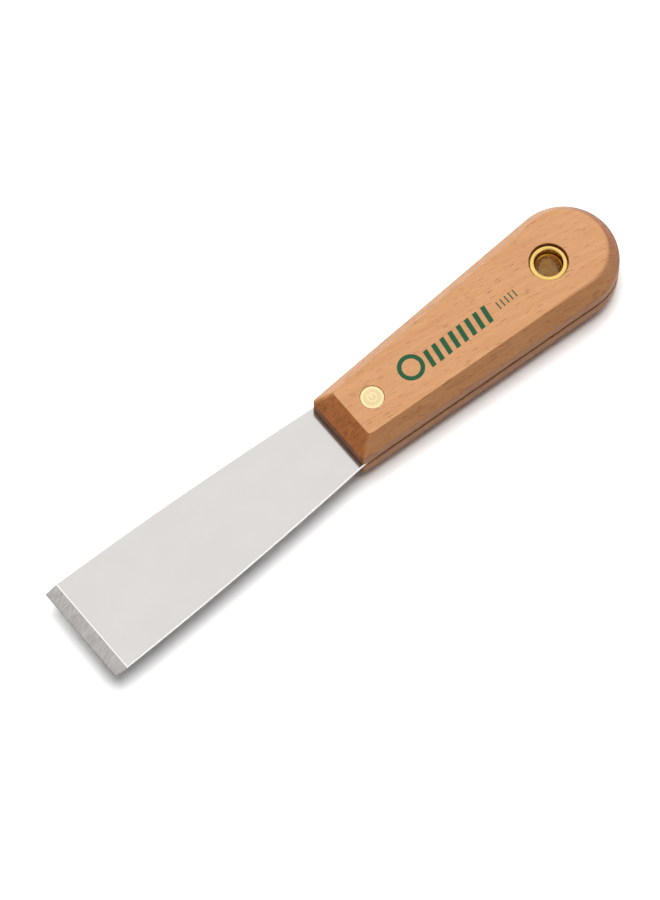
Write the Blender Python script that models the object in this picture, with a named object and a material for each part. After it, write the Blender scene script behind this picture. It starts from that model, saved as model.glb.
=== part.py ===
"""Putty knife: a ground steel blade between two beech scales, held by a rivet and an eyelet.

Units are metres and +Z is up. The knife lies on its bottom scale. +X runs from the cutting
edge to the butt of the handle. The origin is under the middle of the knife's length, on the
surface that it rests on.
"""

import math

import bmesh
import bpy

MM = 0.001

# Overall sizes
BLADE_REACH = 93.0 * MM           # cutting edge to the front of the handle
HANDLE_LENGTH = 99.4 * MM
HANDLE_FRONT_WIDTH = 23.0 * MM
HANDLE_BUTT_WIDTH = 31.8 * MM     # width of the round butt
SCALE_THICKNESS = 10.2 * MM        # each wooden scale

# Edges of a scale: an upright land beside the blade, then a wide chamfer up to the flat face
LAND_HEIGHT = 4.4 * MM
SIDE_CHAMFER = 3.5 * MM
FRONT_CHAMFER = 4.9 * MM
BUTT_CHAMFER = 3.2 * MM
LAND_CORNER_RADIUS = 1.2 * MM
FACE_CORNER_RADIUS = 0.4 * MM
PARTING_ROUNDING = 0.3 * MM       # edge beside the blade
FRONT_ROUNDING = 0.35 * MM        # chamfer edges near the blade
BUTT_ROUNDING = 1.6 * MM          # chamfer edges round the butt
ROUNDING_RUN = 45.0 * MM          # length over which one grows into the other

# Blade
BLADE_EDGE_WIDTH = 31.4 * MM      # at the cutting edge
BLADE_WIDTH = 31.8 * MM           # where the bevel begins, the widest place
BLADE_REVEAL = 0.2 * MM           # handle stands out past the blade on each side
BLADE_SIDE_BULGE = 0.7 * MM       # how far each side bows out of a straight line
BLADE_THICKNESS = 1.2 * MM        # in the handle
BLADE_TIP_THICKNESS = 1.0 * MM    # where the bevel begins
EDGE_LAND = 0.3 * MM              # steel left at the cutting edge
BEVEL_LENGTH = 4.1 * MM
SHOULDER_DEPTH = 5.0 * MM         # full-width steel inside the handle
TANG_WALL = 2.8 * MM              # steel round the eyelet's hole

# Cutlery rivet: a stud driven into a sleeve
RIVET_SETBACK = 12.7 * MM         # from the front of the handle
RIVET_HEAD_DIAMETER = 6.9 * MM
RIVET_HEAD_THICKNESS = 1.4 * MM
RIVET_HEAD_RECESS = 0.1 * MM
RIVET_HEAD_ROUNDING = 0.2 * MM
STUD_DIAMETER = 3.2 * MM
RIVET_SLEEVE_WALL = 0.7 * MM

# Hang-hole eyelet: two flanged tubes, one inside the other
EYELET_SETBACK = 21.8 * MM        # from the end of the butt
EYELET_FLANGE_DIAMETER = 11.2 * MM
EYELET_FLANGE_THICKNESS = 0.9 * MM
EYELET_RECESS = 0.7 * MM          # flange below the wood's face
EYELET_BORE = 8.4 * MM
EYELET_WALL = 0.4 * MM
EYELET_INNER_STEP = 1.35 * MM     # inner tube ends this far below the outer one's mouth
LIP_RADIUS = 0.25 * MM

# Clearances
FIT_GAP = 0.2 * MM                # between pieces that touch
COUNTERBORE_GAP = 0.35 * MM       # round a flange or a rivet head

# Mesh fineness
SIDE_STEPS = 8
BUTT_STEPS = 18                   # on each half of the butt
CORNER_STEPS = 4
ARRIS_STEPS = 3
BLADE_STEPS = 20
SHOULDER_STEPS = 6
TANG_END_STEPS = 8
LIP_STEPS = 3
TURN_STEPS = 40
SHARP_ANGLE = math.radians(30)
CUT_MARGIN = 2.0 * MM             # how far a cutter runs past what it cuts

# Places and sizes that follow
EDGE_X = -(BLADE_REACH + HANDLE_LENGTH) / 2
HEEL_X = EDGE_X + BEVEL_LENGTH
FRONT_X = EDGE_X + BLADE_REACH
BUTT_X = FRONT_X + HANDLE_LENGTH
RIVET_X = FRONT_X + RIVET_SETBACK
EYELET_X = BUTT_X - EYELET_SETBACK
SCALE_SPACING = BLADE_THICKNESS + 2 * FIT_GAP
TOP_Z = 2 * SCALE_THICKNESS + SCALE_SPACING
MID_Z = TOP_Z / 2
BUTT_RADIUS = HANDLE_BUTT_WIDTH / 2
BUTT_CENTRE_X = BUTT_X - BUTT_RADIUS
HALF_FRONT = HANDLE_FRONT_WIDTH / 2
BLADE_HALF_NECK = HALF_FRONT - BLADE_REVEAL
FLARE = (math.asin(BUTT_RADIUS / math.hypot(BUTT_CENTRE_X - FRONT_X, HALF_FRONT))
         - math.atan2(HALF_FRONT, BUTT_CENTRE_X - FRONT_X))
STUD_RADIUS = STUD_DIAMETER / 2
RIVET_BORE_RADIUS = STUD_RADIUS + FIT_GAP
RIVET_SLEEVE_RADIUS = RIVET_BORE_RADIUS + RIVET_SLEEVE_WALL
EYELET_SLEEVE_RADIUS = EYELET_BORE / 2 + EYELET_WALL
EYELET_TUBE_RADIUS = EYELET_BORE / 2 - FIT_GAP
EYELET_HOLE_RADIUS = EYELET_SLEEVE_RADIUS + FIT_GAP
TANG_HALF_WIDTH = EYELET_HOLE_RADIUS + TANG_WALL


def clear_scene():
    """Remove every object, so that the script can run again in the same file."""
    for item in list(bpy.data.objects):
        bpy.data.objects.remove(item, do_unlink=True)


def plain_finish(name, colour, roughness, metallic):
    """One Principled finish."""
    material = bpy.data.materials.new(name)
    material.use_nodes = True
    shader = material.node_tree.nodes["Principled BSDF"]
    shader.inputs["Base Color"].default_value = (*colour, 1.0)
    shader.inputs["Roughness"].default_value = roughness
    shader.inputs["Metallic"].default_value = metallic
    return material


def beech():
    return plain_finish("beech", (0.68, 0.40, 0.22), 0.55, 0.0)


def spring_steel():
    return plain_finish("spring_steel", (0.62, 0.61, 0.60), 0.30, 1.0)


def brass():
    return plain_finish("brass", (0.83, 0.62, 0.25), 0.28, 1.0)


def make_object(name, shape, place, material=None):
    """Turn a bmesh into a named object at its place, with its faces pointing out."""
    bmesh.ops.recalc_face_normals(shape, faces=shape.faces)
    mesh = bpy.data.meshes.new(name)
    shape.to_mesh(mesh)
    shape.free()
    mesh.shade_smooth()
    mesh.set_sharp_from_angle(angle=SHARP_ANGLE)
    if material:
        mesh.materials.append(material)
    item = bpy.data.objects.new(name, mesh)
    item.location = place
    bpy.context.scene.collection.objects.link(item)
    return item


def bridge(shape, first, second):
    """Quads between two closed loops with as many vertices as each other."""
    count = len(first)
    for here in range(count):
        after = (here + 1) % count
        shape.faces.new((first[here], first[after], second[after], second[here]))


def skin(loops):
    """A closed body over a row of loops, with a flat face at each end."""
    shape = bmesh.new()
    rings = [[shape.verts.new(point) for point in loop] for loop in loops]
    for first, second in zip(rings, rings[1:]):
        bridge(shape, first, second)
    shape.faces.new(rings[0])
    shape.faces.new(rings[-1])
    return shape


def turned(outline):
    """A solid turned about Z from a closed outline of (radius, height) points."""
    shape = bmesh.new()
    rings = []
    for radius, height in outline:
        steps = TURN_STEPS if radius > 0 else 1
        ring = []
        for step in range(steps):
            angle = 2 * math.pi * step / steps
            ring.append(shape.verts.new((radius * math.cos(angle), radius * math.sin(angle), height)))
        rings.append(ring)
    for first, second in zip(rings, rings[1:] + rings[:1]):
        if len(first) == len(second) == 1:
            continue
        if len(first) == len(second):
            bridge(shape, first, second)
            continue
        pole, ring = sorted((first, second), key=len)
        for here in range(TURN_STEPS):
            shape.faces.new((pole[0], ring[here], ring[(here + 1) % TURN_STEPS]))
    return shape


def arc(centre, radius, start, end, steps):
    """Points on a circle from one angle to another, with both ends."""
    points = []
    for step in range(steps + 1):
        angle = start + (end - start) * step / steps
        points.append((centre[0] + radius * math.cos(angle), centre[1] + radius * math.sin(angle)))
    return points


def rounded(corner, before, after, cut, steps):
    """A corner between two neighbours, cut back by the same length both ways and curved."""
    ends = []
    for other in (before, after):
        away = (other[0] - corner[0], other[1] - corner[1])
        share = cut / math.hypot(*away)
        ends.append((corner[0] + away[0] * share, corner[1] + away[1] * share))
    points = []
    for step in range(steps + 1):
        t = step / steps
        weights = ((1 - t) ** 2, 2 * t * (1 - t), t ** 2)
        points.append(tuple(
            weights[0] * ends[0][axis] + weights[1] * corner[axis] + weights[2] * ends[1][axis]
            for axis in range(2)))
    return points


def scale_plan(side_inset, front_inset, butt_inset, corner_radius):
    """Plan of a scale moved in from its edge: straight flared sides run into the round butt."""
    radius = BUTT_RADIUS - side_inset
    centre_x = BUTT_CENTRE_X + side_inset - butt_inset
    half = arc((centre_x, 0), radius, 0, math.pi / 2 + FLARE, BUTT_STEPS)
    corner_x = FRONT_X + front_inset + corner_radius
    corner_y = (radius - corner_radius - math.sin(FLARE) * (centre_x - corner_x)) / math.cos(FLARE)
    corner = arc((corner_x, corner_y), corner_radius, math.pi / 2 + FLARE, math.pi, CORNER_STEPS)
    butt_end = half[-1]
    for step in range(1, SIDE_STEPS):
        share = step / SIDE_STEPS
        half.append((butt_end[0] + (corner[0][0] - butt_end[0]) * share,
                     butt_end[1] + (corner[0][1] - butt_end[1]) * share))
    half += corner
    mirrored = [(x, -y) for x, y in reversed(half[1:])]
    return half + mirrored


def chamfer_rounding(x, chamfer):
    """Rounding of the chamfer's edges: small near the blade, large round the butt."""
    share = min(max(1 - (BUTT_X - x) / ROUNDING_RUN, 0), 1)
    share = share * share * (3 - 2 * share)
    cut = FRONT_ROUNDING + (BUTT_ROUNDING - FRONT_ROUNDING) * share
    return min(cut, LAND_HEIGHT - PARTING_ROUNDING, chamfer / 2)


def edge_section(x, chamfer):
    """Edge of a scale as (inward, up) points, from the parting face to the flat face."""
    foot = (0, 0)
    land_top = (0, LAND_HEIGHT)
    face_edge = (chamfer, SCALE_THICKNESS)
    inside_foot = (chamfer, 0)
    inside_face = (chamfer * 2, SCALE_THICKNESS)
    cut = chamfer_rounding(x, chamfer)
    return (rounded(foot, inside_foot, land_top, PARTING_ROUNDING, ARRIS_STEPS)
            + rounded(land_top, foot, face_edge, cut, ARRIS_STEPS)
            + rounded(face_edge, land_top, inside_face, cut, ARRIS_STEPS))


def scale_shape():
    """A scale with its parting face at height 0 and its flat face up."""
    outer = scale_plan(0, 0, 0, LAND_CORNER_RADIUS)
    inner = scale_plan(SIDE_CHAMFER, FRONT_CHAMFER, BUTT_CHAMFER, FACE_CORNER_RADIUS)
    columns = []
    for start, end in zip(outer, inner):
        chamfer = math.dist(start, end)
        inward = ((end[0] - start[0]) / chamfer, (end[1] - start[1]) / chamfer)
        columns.append([(start[0] + inward[0] * depth, start[1] + inward[1] * depth, height)
                        for depth, height in edge_section(start[0], chamfer)])
    return skin(list(zip(*columns)))


def blade_half_width(x):
    """The sides bow out gently between the bevel and the handle."""
    share = (x - HEEL_X) / (FRONT_X - HEEL_X)
    straight = BLADE_WIDTH / 2 * (1 - share) + BLADE_HALF_NECK * share
    return straight + 4 * BLADE_SIDE_BULGE * share * (1 - share)


def blade_section(x, half_width, top, bottom):
    return [(x, -half_width, bottom), (x, half_width, bottom), (x, half_width, top), (x, -half_width, top)]


def blade_shape():
    """Blade and tang as one piece, with the middle of the steel at height 0."""
    half_tip = BLADE_TIP_THICKNESS / 2
    half_thick = BLADE_THICKNESS / 2
    sections = [blade_section(EDGE_X, BLADE_EDGE_WIDTH / 2, EDGE_LAND - half_tip, -half_tip)]
    for step in range(BLADE_STEPS + 1):
        share = step / BLADE_STEPS
        x = HEEL_X + (FRONT_X - HEEL_X) * share
        half_height = half_tip + (half_thick - half_tip) * share
        sections.append(blade_section(x, blade_half_width(x), half_height, -half_height))
    drop = BLADE_HALF_NECK - TANG_HALF_WIDTH
    shoulder = arc((FRONT_X + SHOULDER_DEPTH + drop, TANG_HALF_WIDTH + drop), drop,
                   math.pi, 1.5 * math.pi, SHOULDER_STEPS)
    tang_end = arc((EYELET_X, 0), TANG_HALF_WIDTH, math.pi / 2, math.pi / 2 / TANG_END_STEPS,
                   TANG_END_STEPS)
    for x, half_width in shoulder + tang_end:
        sections.append(blade_section(x, half_width, half_thick, -half_thick))
    return skin(sections)


def hole_cutter(name, x, hole_radius, head_radius, head_depth):
    """A hole right through the handle, with a counterbore at each face."""
    outline = [
        (0, -CUT_MARGIN),
        (head_radius, -CUT_MARGIN),
        (head_radius, head_depth),
        (hole_radius, head_depth),
        (hole_radius, TOP_Z - head_depth),
        (head_radius, TOP_Z - head_depth),
        (head_radius, TOP_Z + CUT_MARGIN),
        (0, TOP_Z + CUT_MARGIN),
    ]
    cutter = make_object(name, turned(outline), (x, 0, 0))
    cutter.hide_render = True
    cutter.display_type = "WIRE"
    return cutter


def cut(item, cutters):
    """Take the cutters out of a piece."""
    for cutter in cutters:
        modifier = item.modifiers.new(cutter.name, "BOOLEAN")
        modifier.operation = "DIFFERENCE"
        modifier.object = cutter


def add_handle_and_blade():
    """Both scales and the blade, drilled together for the rivet and the eyelet."""
    cutters = (
        hole_cutter("rivet_hole", RIVET_X, RIVET_SLEEVE_RADIUS + FIT_GAP,
                    RIVET_HEAD_DIAMETER / 2 + COUNTERBORE_GAP,
                    RIVET_HEAD_RECESS + RIVET_HEAD_THICKNESS + FIT_GAP),
        hole_cutter("eyelet_hole", EYELET_X, EYELET_HOLE_RADIUS,
                    EYELET_FLANGE_DIAMETER / 2 + COUNTERBORE_GAP,
                    EYELET_RECESS + EYELET_FLANGE_THICKNESS + FIT_GAP),
    )
    blade = make_object("blade", blade_shape(), (0, 0, MID_Z), spring_steel())
    top_scale = make_object("top_scale", scale_shape(), (0, 0, MID_Z + SCALE_SPACING / 2), beech())
    bottom_scale = make_object("bottom_scale", scale_shape(), (0, 0, MID_Z - SCALE_SPACING / 2), beech())
    bottom_scale.rotation_euler.x = math.pi
    for item in (blade, top_scale, bottom_scale):
        cut(item, cutters)


def rivet_head_edge(face_z):
    """Rounded rim of a rivet head whose face is up."""
    radius = RIVET_HEAD_DIAMETER / 2
    return rounded((radius, face_z), (0, face_z), (radius, 0), RIVET_HEAD_ROUNDING, LIP_STEPS)


def add_rivet():
    """Stud from the top and sleeve from below, each with its head in a counterbore."""
    head_face = MID_Z - RIVET_HEAD_RECESS
    head_foot = head_face - RIVET_HEAD_THICKNESS
    head_radius = RIVET_HEAD_DIAMETER / 2
    bore_end = FIT_GAP - head_foot
    stud = [(0, head_face)]
    stud += rivet_head_edge(head_face)
    stud += [
        (head_radius, head_foot),
        (STUD_RADIUS, head_foot),
        (STUD_RADIUS, bore_end),
        (0, bore_end),
    ]
    make_object("rivet_stud", turned(stud), (RIVET_X, 0, MID_Z), brass())
    sleeve = [(0, head_face)]
    sleeve += rivet_head_edge(head_face)
    sleeve += [
        (head_radius, head_foot),
        (RIVET_SLEEVE_RADIUS, head_foot),
        (RIVET_SLEEVE_RADIUS, bore_end),
        (RIVET_BORE_RADIUS, bore_end),
        (RIVET_BORE_RADIUS, head_foot),
        (0, head_foot),
    ]
    turned_sleeve = make_object("rivet_sleeve", turned(sleeve), (RIVET_X, 0, MID_Z), brass())
    turned_sleeve.rotation_euler.x = math.pi


def eyelet_outline(bore_radius, tube_radius, tube_end):
    """Flanged tube with its flange up and its lips rounded."""
    face = MID_Z - EYELET_RECESS
    flange_foot = face - EYELET_FLANGE_THICKNESS
    flange_radius = EYELET_FLANGE_DIAMETER / 2
    mouth = rounded((bore_radius, face), (bore_radius, tube_end), (flange_radius, face),
                    LIP_RADIUS, LIP_STEPS)
    rim = rounded((flange_radius, face), (bore_radius, face), (flange_radius, flange_foot),
                  LIP_RADIUS, LIP_STEPS)
    return mouth + rim + [
        (flange_radius, flange_foot),
        (tube_radius, flange_foot),
        (tube_radius, tube_end),
        (bore_radius, tube_end),
    ]


def add_eyelet():
    """Outer sleeve from the top and inner tube from below, telescoped in the hang hole."""
    face = MID_Z - EYELET_RECESS
    sleeve_end = EYELET_FLANGE_THICKNESS + FIT_GAP - face
    sleeve = eyelet_outline(EYELET_BORE / 2, EYELET_SLEEVE_RADIUS, sleeve_end)
    make_object("eyelet_sleeve", turned(sleeve), (EYELET_X, 0, MID_Z), brass())
    tube_end = EYELET_INNER_STEP - face
    tube = eyelet_outline(EYELET_TUBE_RADIUS - EYELET_WALL, EYELET_TUBE_RADIUS, tube_end)
    inner_tube = make_object("eyelet_tube", turned(tube), (EYELET_X, 0, MID_Z), brass())
    inner_tube.rotation_euler.x = math.pi


clear_scene()
add_handle_and_blade()
add_rivet()
add_eyelet()
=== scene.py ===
"""Putty knife: the finished surfaces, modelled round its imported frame.

Every piece is placed from the frame's own boxes. Lengths are in metres and +X runs from the
cutting edge to the butt of the handle.
"""

import math

import bmesh
import bpy
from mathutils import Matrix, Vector


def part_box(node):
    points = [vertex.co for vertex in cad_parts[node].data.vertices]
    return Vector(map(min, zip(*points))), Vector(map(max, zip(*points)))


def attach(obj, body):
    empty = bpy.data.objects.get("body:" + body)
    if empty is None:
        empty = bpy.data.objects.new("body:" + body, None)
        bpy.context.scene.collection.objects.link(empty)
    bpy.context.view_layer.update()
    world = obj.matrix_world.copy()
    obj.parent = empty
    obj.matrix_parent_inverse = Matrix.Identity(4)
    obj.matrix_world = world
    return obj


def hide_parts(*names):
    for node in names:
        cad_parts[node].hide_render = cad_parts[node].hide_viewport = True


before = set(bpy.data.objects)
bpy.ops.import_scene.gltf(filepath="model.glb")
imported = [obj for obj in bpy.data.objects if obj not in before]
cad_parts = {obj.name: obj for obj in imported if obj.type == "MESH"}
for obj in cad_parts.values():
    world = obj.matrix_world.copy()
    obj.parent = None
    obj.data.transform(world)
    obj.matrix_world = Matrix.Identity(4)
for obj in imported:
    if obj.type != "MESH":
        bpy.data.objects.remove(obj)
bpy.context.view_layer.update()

bl_info = {
    "name": "Putty Knife",
    "version": (1, 0, 0),
    "blender": (4, 5, 0),
    "location": "View3D > Sidebar > Knife",
    "description": "Models a riveted putty knife with beech scales and a ground steel blade",
    "category": "Object",
}

MM = 0.001
BLADE_LOW, BLADE_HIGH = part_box("blade")
TOP_LOW, TOP_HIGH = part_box("top_scale")
BOTTOM_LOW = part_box("bottom_scale")[0]
STUD_LOW, STUD_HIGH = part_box("rivet_stud")
RIVET_SLEEVE_LOW, RIVET_SLEEVE_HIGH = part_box("rivet_sleeve")
EYELET_SLEEVE_LOW, EYELET_SLEEVE_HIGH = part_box("eyelet_sleeve")
EYELET_TUBE_LOW, EYELET_TUBE_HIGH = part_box("eyelet_tube")

MID_Z = (BLADE_LOW.z + BLADE_HIGH.z) / 2
FRONT_X = TOP_LOW.x
BUTT_X = TOP_HIGH.x
BUTT_RADIUS = TOP_HIGH.y
RIVET_X = (STUD_LOW.x + STUD_HIGH.x) / 2
RIVET_HEAD_RADIUS = (STUD_HIGH.y - STUD_LOW.y) / 2
EYELET_X = (EYELET_SLEEVE_LOW.x + EYELET_SLEEVE_HIGH.x) / 2
FLANGE_RADIUS = (EYELET_SLEEVE_HIGH.y - EYELET_SLEEVE_LOW.y) / 2

# Clearances, and how close two points are taken as one
WELD = 1e-7
SAME_POINT = 1e-6
SAME_PLACE = 0.01 * MM
FIT_GAP = 0.2 * MM
CUT_MARGIN = 2.0 * MM

# Handle: its roundings, and the room given when its front corners and top face are selected
ROUNDING_RUN = 45 * MM
CORNER_ROUNDING = 1.3 * MM
PARTING_BREAK = 0.3 * MM
CORNER_ROOM = 1.0 * MM
FACE_ROOM = 0.2 * MM

# Tang: how far its shoulders lie behind the front of the handle
SHOULDER_SETBACK = 5.0 * MM

# Rivet: a stud in a sleeve, each with its own head
STUD_RADIUS = 1.6 * MM
SLEEVE_BORE = 1.8 * MM
SLEEVE_RADIUS = 2.5 * MM
HEAD_HEIGHT = 1.4 * MM
HEAD_RIM = 0.12 * MM
HEAD_CROWN = 0.06 * MM
HEAD_GAP = 0.06 * MM
HEAD_HOLE_BREAK = 0.05 * MM
PIP_WIDTH = 0.09 * MM
PIP_DEPTH_IN_RINGS = 2.5

# Eyelet: a flanged tube in another one (radii), with their flanges on opposite faces
OUTER_BORE = 4.2 * MM
OUTER_RADIUS = 4.6 * MM
OUTER_LIP = 0.12 * MM
INNER_BORE = 3.6 * MM
INNER_RADIUS = 4.0 * MM
INNER_LIP = 0.35 * MM
INNER_SETBACK = 1.6 * MM
EYELET_HOLE_RADIUS = 4.8 * MM
FLANGE_HEIGHT = 0.9 * MM
FLANGE_RIM = 0.3 * MM
FLANGE_CROWN = 0.12 * MM
FLANGE_CROWN_POWER = 0.8
FLANGE_GAP = 0.10 * MM
FLANGE_HOLE_BREAK = 0.15 * MM

# Print: it is sunk into the wood and stands a hair above it
PRINT_DEPTH = 0.05 * MM
PRINT_RISE = 0.02 * MM
RING_WIDTH = 1.3 * MM
RING_GAP = 0.7 * MM
BAR_ROW_Y = -1.2 * MM
BAR_SLANT = 0.8 * MM
TICK_GAP = 2.2 * MM
TICK_WIDTH = 0.4 * MM
TICK_SHARE = 0.46

# How finely round and curved shapes are divided
ROUND_STEPS = 128
BUTT_STEPS = 180
SIDE_STEPS = 16
BLADE_STEPS = 32
SHOULDER_STEPS = 12
TANG_END_STEPS = 24
HEAD_STEPS = 60
HEAD_FLAT_STEPS = 5
RIM_STEPS = 6
LIP_STEPS = 8
RING_STEPS = 96

# Angles of the shading, and how far large faces rule it
FLAT_PIECE_ANGLE = 35
ROUND_PIECE_ANGLE = 40
LARGE_FACE_WEIGHT = 80

# Features of the finishes, in millimetres along, across and up the handle
STREAK_SIZE = (30, 1.6, 2.2)
FIBRE_SIZE = (5.0, 0.24, 0.5)
CLOUD_SIZE = (26, 9, 9)
FLECK_SIZE = (5.5, 0.56, 1.5)
SMALL_FLECK_SIZE = (3.2, 0.42, 1.1)
SMALL_FLECK_SHIFT = 11
SPOT_SIZE = (5.0, 1.4, 1.4)
RAY_SIZE = (4, 0.27, 2.6)
PORE_SIZE = (0.5, 0.2, 0.2)
END_PATCH_SIZE = (6, 2.4, 1.8)
BOTTOM_WOOD_SHIFT = (73, 41, 29)
HAIR_SIZE = (14, 0.09, 3)
MOTTLE_SIZE = (14, 9, 9)
GRIND_SIZE = (2.2, 0.15, 4)
GRIND_ANGLE = math.radians(17)
GROUND_PATCH_SIZE = (6, 3, 6)
TARNISH_SIZE = (3, 3, 3)
INK_GRAIN_SIZE = (2.2, 0.16, 1)
FLOOR_TONE_SIZE = (300, 300, 300)

# Where nearly all of a noise lies
NOISE_LOW = 0.3
NOISE_HIGH = 0.7

# Finishes of the metal: pitch, depth and roughness of the turning marks on brass
RIVET_MARKS = (0.34 * MM, 0.03 * MM, 0.24)
EYELET_MARKS = (0.3 * MM, 0.01 * MM, 0.22)
BEVEL_ROUGHNESS = 0.38

# Studio: floor, a dome that is bright on one side, and two square softboxes
FLOOR_SIZE = 12
FLOOR_GAP = 0.05 * MM
DOME_TOWARDS = (0.25, 0.50, 0.83)
DOME_EDGE = 0.44
DOME_FULL = 0.9
DOME_DARK = 0.05
DOME_BRIGHT = 1.38
SENSOR_HEIGHT = 36

# Name, place, size, power, whether polished metal shows it, and whether it lights matt surfaces
SOFTBOXES = (
    ("key_softbox", (0.04, 0.09, 1.5), 0.85, 25.0, False, True),
    ("edge_strip", (0.35, -1.05, 1.05), 0.8, 11.0, True, False),
)


# Settings

class KnifeScaleSettings(bpy.types.PropertyGroup):
    """Shape and colour of the wooden scales."""

    front_width: bpy.props.FloatProperty(
        name="Front Width", description="Width of the handle beside the blade",
        default=23.0 * MM, min=0.0, unit="LENGTH")
    land_height: bpy.props.FloatProperty(
        name="Land Height", description="Height of the upright edge beside the parting line",
        default=4.4 * MM, min=0.0, unit="LENGTH")
    side_chamfer: bpy.props.FloatProperty(
        name="Side Chamfer", description="Width of the chamfer along the sides",
        default=3.5 * MM, min=0.0, unit="LENGTH")
    front_chamfer: bpy.props.FloatProperty(
        name="Front Chamfer", description="Width of the chamfer beside the blade",
        default=4.9 * MM, min=0.0, unit="LENGTH")
    butt_chamfer: bpy.props.FloatProperty(
        name="Butt Chamfer", description="Width of the chamfer round the butt",
        default=3.2 * MM, min=0.0, unit="LENGTH")
    front_rounding: bpy.props.FloatProperty(
        name="Front Rounding", description="Sanded rounding of the chamfer's edges near the blade",
        default=0.35 * MM, min=0.0, unit="LENGTH")
    butt_rounding: bpy.props.FloatProperty(
        name="Butt Rounding", description="Rounding of the chamfer's edges at the butt",
        default=3.0 * MM, min=0.0, unit="LENGTH")
    grain_angle: bpy.props.FloatProperty(
        name="Grain Angle", description="Turn of the grain from the handle's own direction",
        default=math.radians(-9), subtype="ANGLE")
    light_wood: bpy.props.FloatVectorProperty(
        name="Light Wood", description="Colour of the palest grain",
        default=(0.452, 0.236, 0.114), subtype="COLOR", size=3, min=0.0, max=1.0)
    dark_wood: bpy.props.FloatVectorProperty(
        name="Dark Wood", description="Colour of the darkest long grain",
        default=(0.415, 0.204, 0.093), subtype="COLOR", size=3, min=0.0, max=1.0)
    fleck: bpy.props.FloatVectorProperty(
        name="Fleck", description="Colour of the short ray flecks",
        default=(0.19, 0.070, 0.026), subtype="COLOR", size=3, min=0.0, max=1.0)
    # Painted shade: a darker tint laid over the grain on the side facing -Y and on both upright
    # lands, where less light falls; not a colour of the wood
    side_shade_tint: bpy.props.FloatVectorProperty(
        name="Side Tone", description="Tone of the heartwood side, over the colour of the grain",
        default=(0.81, 0.71, 0.57), subtype="COLOR", size=3, min=0.0, max=1.0)
    end_grain: bpy.props.FloatVectorProperty(
        name="End Grain", description="Colour where the fibres are cut across",
        default=(0.245, 0.076, 0.020), subtype="COLOR", size=3, min=0.0, max=1.0)


class KnifeBladeSettings(bpy.types.PropertyGroup):
    """Shape and finish of the blade."""

    edge_width: bpy.props.FloatProperty(
        name="Edge Width", description="Width of the cutting edge",
        default=31.4 * MM, min=0.0, unit="LENGTH")
    neck_width: bpy.props.FloatProperty(
        name="Neck Width", description="Width of the blade where it enters the handle",
        default=22.6 * MM, min=0.0, unit="LENGTH")
    side_bulge: bpy.props.FloatProperty(
        name="Side Bulge", description="How far each side bows out of a straight line",
        default=0.7 * MM, min=0.0, unit="LENGTH")
    tip_thickness: bpy.props.FloatProperty(
        name="Tip Thickness", description="Thickness where the bevel begins",
        default=1.0 * MM, min=0.0, unit="LENGTH")
    edge_land: bpy.props.FloatProperty(
        name="Edge Land", description="Steel left at the cutting edge",
        default=0.3 * MM, min=0.0, unit="LENGTH")
    bevel_length: bpy.props.FloatProperty(
        name="Bevel Length", description="Length of the ground bevel",
        default=4.1 * MM, min=0.0, unit="LENGTH")
    # Painted highlight: a bright colour painted along the bevel's heel, standing in for the glint
    # of its edge
    heel_highlight_steel: bpy.props.FloatVectorProperty(
        name="Heel Steel", description="Colour of the bright line where the bevel ends",
        default=(0.86, 0.84, 0.82), subtype="COLOR", size=3, min=0.0, max=1.0)
    edge_break: bpy.props.FloatProperty(
        name="Edge Break", description="Small rounding of every edge of the steel",
        default=0.2 * MM, min=0.0, unit="LENGTH")
    steel: bpy.props.FloatVectorProperty(
        name="Steel", description="Colour of the polished steel",
        default=(0.54, 0.52, 0.505), subtype="COLOR", size=3, min=0.0, max=1.0)
    ground_steel: bpy.props.FloatVectorProperty(
        name="Ground Steel", description="Colour of the coarser ground bevel",
        default=(0.40, 0.38, 0.365), subtype="COLOR", size=3, min=0.0, max=1.0)


class KnifeBrassSettings(bpy.types.PropertyGroup):
    """Shape and finish of the rivet and the eyelet."""

    ring_pitch: bpy.props.FloatProperty(
        name="Ring Pitch", description="Distance between the turning rings on the rivet's head",
        default=0.66 * MM, min=0.05 * MM, unit="LENGTH")
    ring_depth: bpy.props.FloatProperty(
        name="Ring Depth", description="Depth of the turning rings",
        default=0.03 * MM, min=0.0, unit="LENGTH")
    centre_pip: bpy.props.FloatProperty(
        name="Centre Pip", description="Radius of the ring round the middle of the head",
        default=0.52 * MM, min=0.0, unit="LENGTH")
    rivet_brass: bpy.props.FloatVectorProperty(
        name="Rivet Brass", description="Pale brass of the rivet",
        default=(0.80, 0.65, 0.36), subtype="COLOR", size=3, min=0.0, max=1.0)
    eyelet_brass: bpy.props.FloatVectorProperty(
        name="Eyelet Brass", description="Yellow brass of the eyelet",
        default=(0.82, 0.56, 0.17), subtype="COLOR", size=3, min=0.0, max=1.0)
    # Painted shade: the inner tube's brass is darker and deeper in colour to stand in for the shade
    # inside the bore
    painted_shade_tube_brass: bpy.props.FloatVectorProperty(
        name="Tube Brass", description="Darker brass of the eyelet's inner tube",
        default=(0.66, 0.33, 0.03), subtype="COLOR", size=3, min=0.0, max=1.0)


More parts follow.
